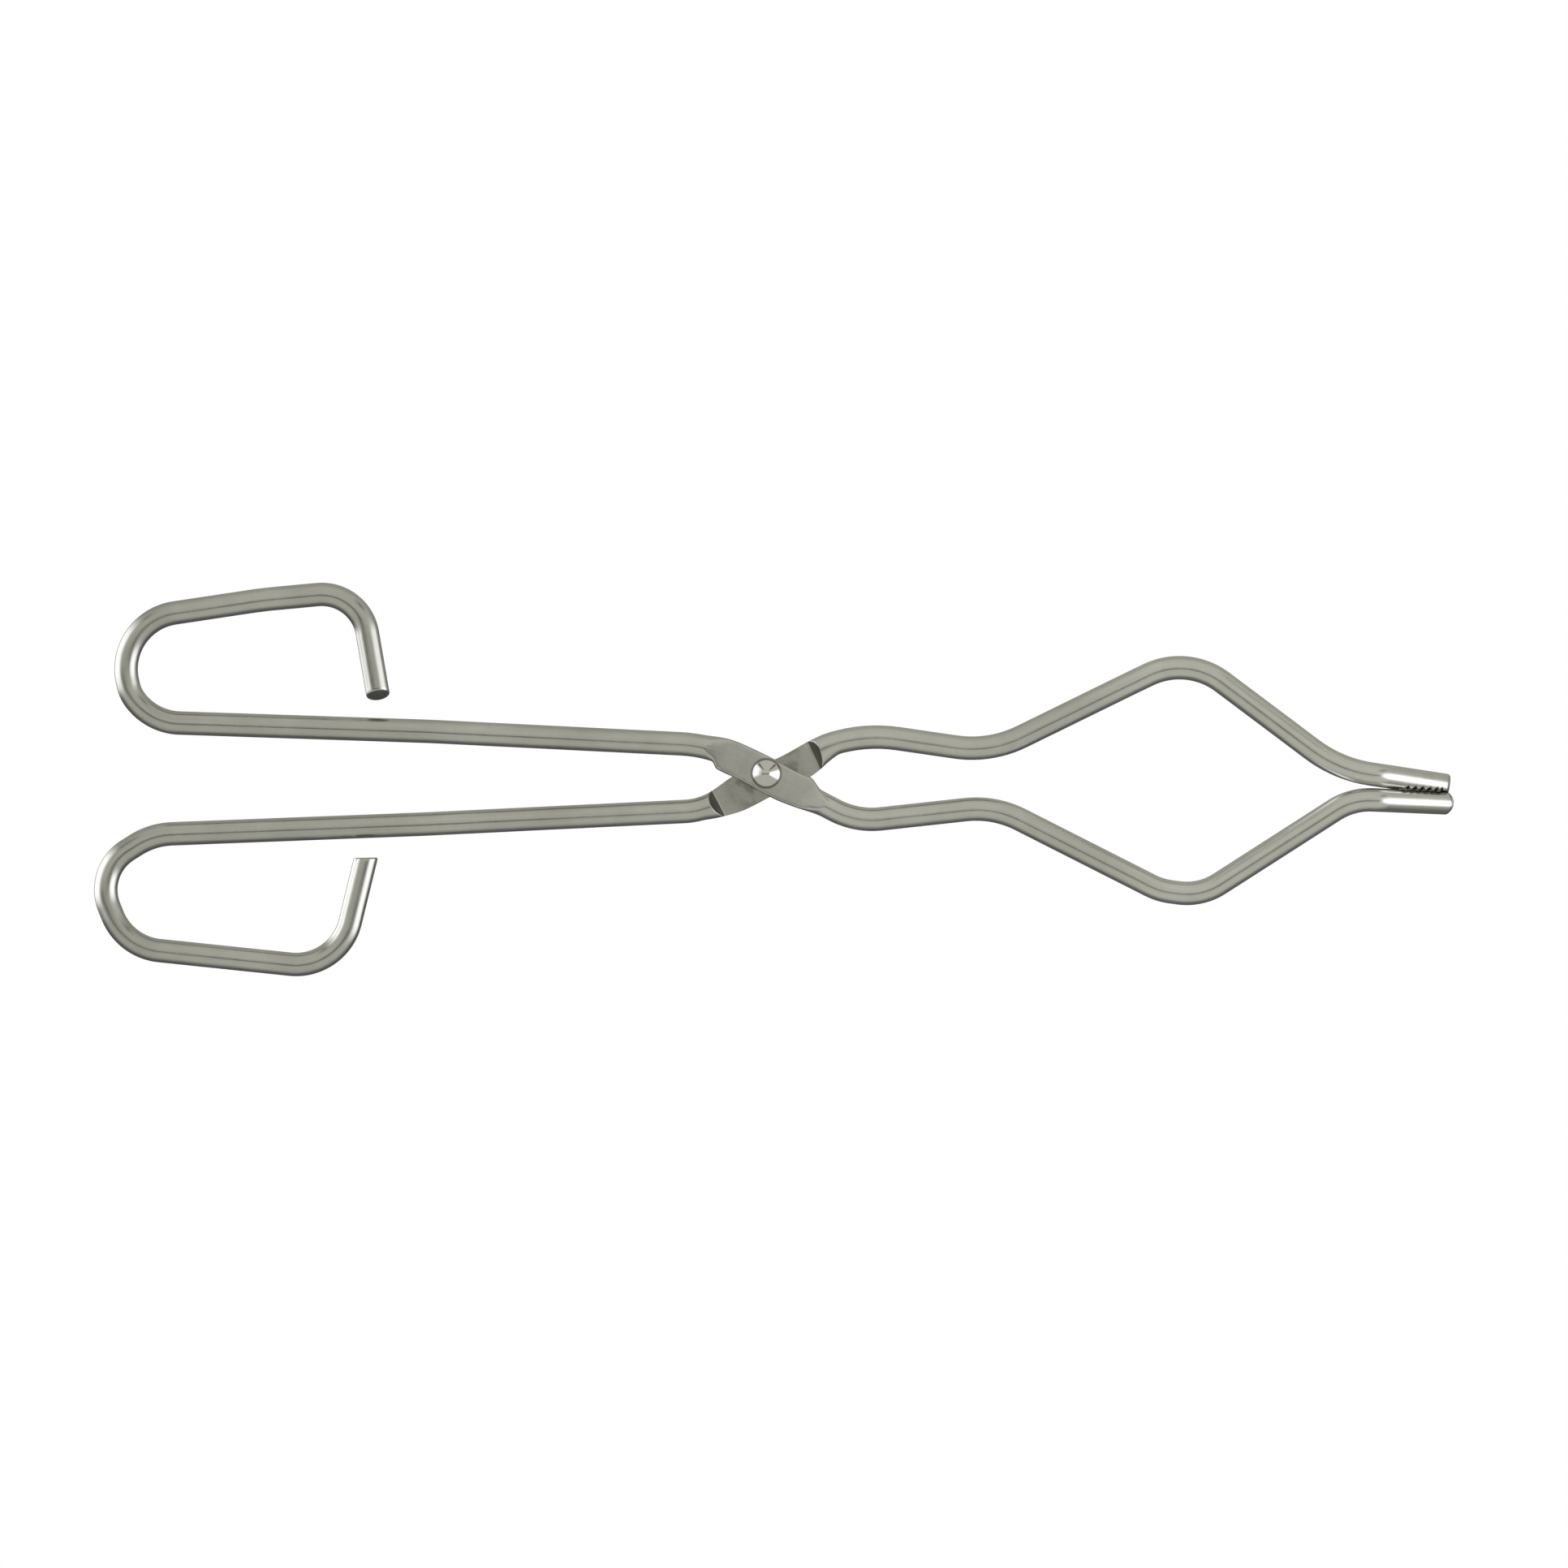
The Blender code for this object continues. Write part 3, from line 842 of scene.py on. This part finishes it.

# Where marks gather: distances from the pivot's axis, and the edges of the smudges and specks.
# The first reach is where the lap face darkens near the pivot: partly wear and smudges, partly
# painted shade beside the front arm's edge.
WORN_AND_SHADED_REACH = (11.5, 5.5)
SMUDGE_EDGES = (-0.08, 0.12)
SPECK_EDGES = (0.74, 0.82)
# A brown ring round the rivet's head, on the arms and on the head's rim: partly tarnish, partly
# painted shadow where the head meets the arm.
TARNISH_AND_SHADOW_START = 2.85
TARNISH_AND_SHADOW_END = 3.35
TARNISH_AND_SHADOW_EDGE = 0.2

SATIN_DARK = (0.49, 0.485, 0.46, 1.0)
SATIN_LIGHT = (0.77, 0.765, 0.735, 1.0)
SMUDGE_BROWN = (0.22, 0.20, 0.175, 1.0)
# The shoulders' dark: partly their rough forged surface, partly painted shade in the steep ramps.
SHOULDER_DARK_AND_SHADE = (0.15, 0.145, 0.14, 1.0)
# The filed faces' dark: partly their rough filing, partly painted shade in the seam and tooth grooves
# between the tips.
FILED_DARK_AND_SEAM_SHADE = (0.14, 0.13, 0.115, 1.0)
SPECK_DARK = (0.22, 0.21, 0.20, 1.0)
TARNISH_AND_SHADOW_BROWN = (0.20, 0.185, 0.16, 1.0)
SAWN_DARK = (0.26, 0.255, 0.24, 1.0)
SAWN_LIGHT = (0.44, 0.435, 0.42, 1.0)
POLISHED_DARK = (0.60, 0.59, 0.57, 1.0)
POLISHED_LIGHT = (0.76, 0.755, 0.74, 1.0)
RIM_TARNISH_AND_SHADE = (0.16, 0.15, 0.125, 1.0)


def from_pivot_axis(nodes):
    """The distance from the pivot's axis in millimetres, and the object's place in millimetres."""
    place = nodes.add("ShaderNodeTexCoord", None, None, "Object")
    in_mm = nodes.scaled(place, (1 / MM, 1 / MM, 1 / MM))
    across = nodes.scaled(in_mm, (1.0, 1.0, 0.0))
    return nodes.add("ShaderNodeVectorMath", {"operation": "LENGTH"}, {0: across}, "Value"), in_mm


def steel_shader(nodes, colour, roughness, height, relief):
    """Bare metal of this colour and roughness, with the height as relief this many metres deep."""
    bump = {"Strength": 1.0, "Distance": relief, "Height": height}
    normal = nodes.add("ShaderNodeBump", None, bump)
    sockets = {"Base Color": colour, "Metallic": 1.0, "Roughness": roughness, "Normal": normal}
    shader = nodes.add("ShaderNodeBsdfPrincipled", None, sockets)
    nodes.add("ShaderNodeOutputMaterial", None, {"Surface": shader})


def satin_steel():
    """Drawn rod: faint lines along it, a little cloudy, worked smoother where it is forged."""
    material = bpy.data.materials.new("satin_steel")
    nodes = Nodes(material)
    place = nodes.attribute("rod_place", "Vector")
    forged = nodes.attribute("forged", "Fac")
    lap_face = nodes.attribute("lap_face", "Fac")
    shoulder = nodes.attribute("shoulder", "Fac")
    filed = nodes.attribute("filed", "Fac")
    off_axis, in_mm = from_pivot_axis(nodes)
    toward_jaws = nodes.add("ShaderNodeSeparateXYZ", None, {0: in_mm}, 0)

    drawn = 1.0 - forged * FORGED_SMOOTHNESS
    lines = (nodes.noise(nodes.scaled(place, LINE_SCALE), 1.0, 3.0) - 0.5) * drawn
    fine_lines = (nodes.noise(nodes.scaled(place, FINE_LINE_SCALE), 1.0, 2.0) - 0.5) * drawn
    clouds = nodes.noise(place, 0.22, 4.0, 0.6) - 0.5
    tone = nodes.noise(place, 0.035, 2.0) - 0.5
    smudges = nodes.noise(place, 0.28, 3.0, 0.55) - 0.5
    specks = nodes.noise(place, 2.6, 1.0).eased(*SPECK_EDGES)
    # Near the pivot the lap face is darkened: partly wear and smudges, partly painted shade beside
    # the front arm's edge.
    worn_and_shaded = lap_face * off_axis.eased(*WORN_AND_SHADED_REACH)
    smudge = smudges.eased(*SMUDGE_EDGES) * worn_and_shaded
    ring = off_axis.eased(TARNISH_AND_SHADOW_END + TARNISH_AND_SHADOW_EDGE, TARNISH_AND_SHADOW_END)

    shade = clouds * CLOUD_SHADE + lines * LINE_SHADE + fine_lines * FINE_LINE_SHADE
    shade = shade + tone * TONE_SHADE + toward_jaws * JAW_SHADE + MIDDLE_SHADE
    shade = shade - lap_face * LAP_SHADE - worn_and_shaded * WORN_AND_SHADED_DARKENING + smudges * forged * SMUDGE_SHADE
    colour = nodes.mix(shade, SATIN_DARK, SATIN_LIGHT)
    for amount, mark in (
        (smudge * 0.7, SMUDGE_BROWN),
        # Painted shade on the steep shoulders, over their darker forged surface.
        (shoulder * 0.85, SHOULDER_DARK_AND_SHADE),
        # The filed faces are darkened: partly their filing, partly painted shade in the seam between
        # the tips.
        (filed * 0.8, FILED_DARK_AND_SEAM_SHADE),
        (specks * 0.45, SPECK_DARK),
        # Round the rivet's head the arm is browned: partly tarnish, partly painted shadow of the
        # head's edge.
        (ring * 0.6, TARNISH_AND_SHADOW_BROWN),
    ):
        colour = nodes.mix(amount, colour, mark)

    roughness = SATIN_ROUGHNESS + clouds * CLOUD_ROUGHNESS + fine_lines * FINE_LINE_ROUGHNESS
    roughness = roughness + smudge * SMUDGE_ROUGHNESS
    height = lines + fine_lines * FINE_LINE_RELIEF + clouds * CLOUD_RELIEF * (1.0 - lap_face)
    height = height + smudges * SMUDGE_RELIEF * lap_face
    steel_shader(nodes, colour, roughness, height, SATIN_RELIEF)
    return material


def sawn_steel():
    """The cut ends of the rod: darker and duller, with the saw's straight marks."""
    material = bpy.data.materials.new("sawn_steel")
    nodes = Nodes(material)
    place = nodes.attribute("rod_place", "Vector")
    marks = nodes.noise(nodes.scaled(place, SAW_MARK_SCALE), 1.0, 3.0)
    colour = nodes.mix(marks, SAWN_DARK, SAWN_LIGHT)
    steel_shader(nodes, colour, 0.30 + marks * 0.15, marks, SAWN_RELIEF)
    return material


def polished_steel():
    """The rivet: polished by its closing tool, with a few fine scratches and a dull rim, browned
    partly by tarnish and partly as painted shade.
    """
    material = bpy.data.materials.new("polished_steel")
    nodes = Nodes(material)
    off_axis, in_mm = from_pivot_axis(nodes)
    clouds = nodes.noise(in_mm, 0.9, 3.0)
    scratches = nodes.noise(nodes.scaled(in_mm, SCRATCH_SCALE), 1.0, 2.0)
    shade = clouds * 0.6 + scratches * 0.4
    rim = off_axis.eased(TARNISH_AND_SHADOW_START, TARNISH_AND_SHADOW_START + TARNISH_AND_SHADOW_EDGE)
    colour = nodes.mix(shade, POLISHED_DARK, POLISHED_LIGHT)
    # The rim's brown: partly tarnish, partly painted shade where the head meets the arm.
    colour = nodes.mix(rim * 0.85, colour, RIM_TARNISH_AND_SHADE)
    steel_shader(nodes, colour, 0.06 + scratches * 0.06 + rim * 0.25, shade, POLISHED_RELIEF)
    return material


# ---------------------------------------------------------------- light, floor and camera


@dataclass(frozen=True)
class Glow:
    """A soft panel of light: its azimuths from +X towards +Y, and its angles from the zenith."""

    azimuth: float
    half_width: float
    azimuth_edge: float
    from_zenith: float
    half_height: float
    zenith_edge: float
    colour: tuple


WHITE = (1.0, 1.0, 1.0, 1.0)
PANEL_WHITE = (1.96, 1.98, 2.0, 1.0)
BLACK_EDGE = (0.12, 0.12, 0.12, 1.0)

# Two bright panels, at the loops' end and at the jaws' end, and dark edges that frame them.
PANELS = (
    Glow(128.0, 5.0, 4.0, 62.0, 14.0, 8.0, BLACK_EDGE),
    Glow(44.0, 5.0, 4.0, 62.0, 14.0, 8.0, BLACK_EDGE),
    Glow(167.0, 27.0, 10.0, 101.0, 39.0, 14.0, PANEL_WHITE),
    Glow(-6.0, 20.0, 10.0, 70.0, 28.0, 13.0, PANEL_WHITE),
)

# The grey room: its colours above and below on the near side, -Y, and on the far side.
CEILING_NEAR = (0.56, 0.56, 0.50, 1.0)
CEILING_FAR = (0.60, 0.595, 0.53, 1.0)
GROUND_NEAR = (0.125, 0.13, 0.125, 1.0)
GROUND_FAR = (0.42, 0.42, 0.375, 1.0)
FAR_SIDE_EDGES = (-0.35, 0.6)
HORIZON_EDGES = (-0.45, 0.45)

# The dark slit overhead, which draws the fine dark line along each rod's crown.
SLIT_DARK = (0.05, 0.05, 0.05, 1.0)
SLIT_TILT = 0.15
SLIT_HALF_WIDTH = 0.065
SLIT_EDGE = 0.04
SLIT_RISE = (0.0, 0.3)
SLIT_END = (0.9, 0.6)

DEGREES = math.degrees(1.0)
FULL_TURN = 360.0


def panel(azimuth, zenith, glow):
    """1 over the panel, fading to 0 past its edges; both angles are in degrees."""
    off = (azimuth - glow.azimuth).size()
    off = off.math("MINIMUM", FULL_TURN - off)
    wide = off.eased(glow.half_width + glow.azimuth_edge, glow.half_width - glow.azimuth_edge)
    tall = (zenith - glow.from_zenith).size()
    tall = tall.eased(glow.half_height + glow.zenith_edge, glow.half_height - glow.zenith_edge)
    return wide * tall


def studio_world():
    """A grey room with a bright panel at each end and a dark slit along X just off the zenith."""
    world = bpy.data.worlds.new("studio")
    bpy.context.scene.world = world
    nodes = Nodes(world)
    direction = nodes.add("ShaderNodeTexCoord", None, None, "Generated")
    x, y, z = (nodes.add("ShaderNodeSeparateXYZ", None, {0: direction}, axis) for axis in range(3))
    azimuth = y.math("ARCTAN2", x) * DEGREES
    zenith = z.math("ARCCOSINE") * DEGREES
    far_side = y.eased(*FAR_SIDE_EDGES)
    ceiling = nodes.mix(far_side, CEILING_NEAR, CEILING_FAR)
    ground = nodes.mix(far_side, GROUND_NEAR, GROUND_FAR)
    room = nodes.mix(z.eased(*HORIZON_EDGES), ground, ceiling)
    off_slit = (y + z * SLIT_TILT).size()
    slit = off_slit.eased(SLIT_HALF_WIDTH + SLIT_EDGE, SLIT_HALF_WIDTH)
    slit = slit * z.eased(*SLIT_RISE) * x.size().eased(*SLIT_END)
    room = nodes.mix(slit, room, SLIT_DARK)
    for glow in PANELS:
        room = nodes.mix(panel(azimuth, zenith, glow), room, glow.colour)
    seen = nodes.add("ShaderNodeLightPath", None, None, "Is Camera Ray")
    colour = nodes.mix(seen, room, WHITE)
    background = nodes.add("ShaderNodeBackground", None, {"Color": colour, "Strength": 1.0})
    nodes.add("ShaderNodeOutputWorld", None, {"Surface": background})


FLOOR_SIZE = 4.0
FLOOR_GAP = 0.05


def pale_floor():
    """A white floor just under the jaws' tips, which no metal reflects."""
    shape = bmesh.new()
    bmesh.ops.create_grid(shape, x_segments=1, y_segments=1, size=FLOOR_SIZE)
    low_end = CAD_LOW.z - FLOOR_GAP * MM
    bmesh.ops.translate(shape, verts=shape.verts, vec=(0.0, 0.0, low_end))
    mesh = bpy.data.meshes.new("floor")
    shape.to_mesh(mesh)
    shape.free()
    material = bpy.data.materials.new("floor_white")
    nodes = Nodes(material)
    glow = nodes.add("ShaderNodeEmission", None, {"Color": WHITE, "Strength": 1.0})
    nodes.add("ShaderNodeOutputMaterial", None, {"Surface": glow})
    mesh.materials.append(material)
    floor = bpy.data.objects.new("floor", mesh)
    floor.visible_glossy = False
    bpy.context.scene.collection.objects.link(floor)


VIEW_WIDTH = 345.8
VIEW_CENTRE = (3.9, -2.34)
CAMERA_HEIGHT = 3.0
CAMERA_REACH = 20.0
SENSOR_WIDTH = 36.0


def overhead_camera():
    """Straight above the tongs, with their plane filling the frame as a long lens sees it."""
    camera = bpy.data.cameras.new("camera")
    camera.sensor_width = SENSOR_WIDTH
    drop = CAMERA_HEIGHT - MIDDLE_Z * MM
    camera.lens = SENSOR_WIDTH * drop / (VIEW_WIDTH * MM)
    camera.clip_end = CAMERA_REACH
    obj = bpy.data.objects.new("camera", camera)
    obj.location = (VIEW_CENTRE[0] * MM, VIEW_CENTRE[1] * MM, CAMERA_HEIGHT)
    bpy.context.scene.collection.objects.link(obj)
    bpy.context.scene.camera = obj


# ---------------------------------------------------------------- making it all


def main():
    satin, sawn, polished = satin_steel(), sawn_steel(), polished_steel()
    make_arm("front_rod", "front_arm", "front", FRONT_FORM, FRONT_SIDE, [satin, sawn])
    make_arm("back_rod", "back_arm", "back", BACK_FORM, BACK_SIDE, [satin, sawn])
    make_rivet(polished)
    studio_world()
    pale_floor()
    overhead_camera()
    bpy.context.scene.view_settings.view_transform = "Standard"


main()
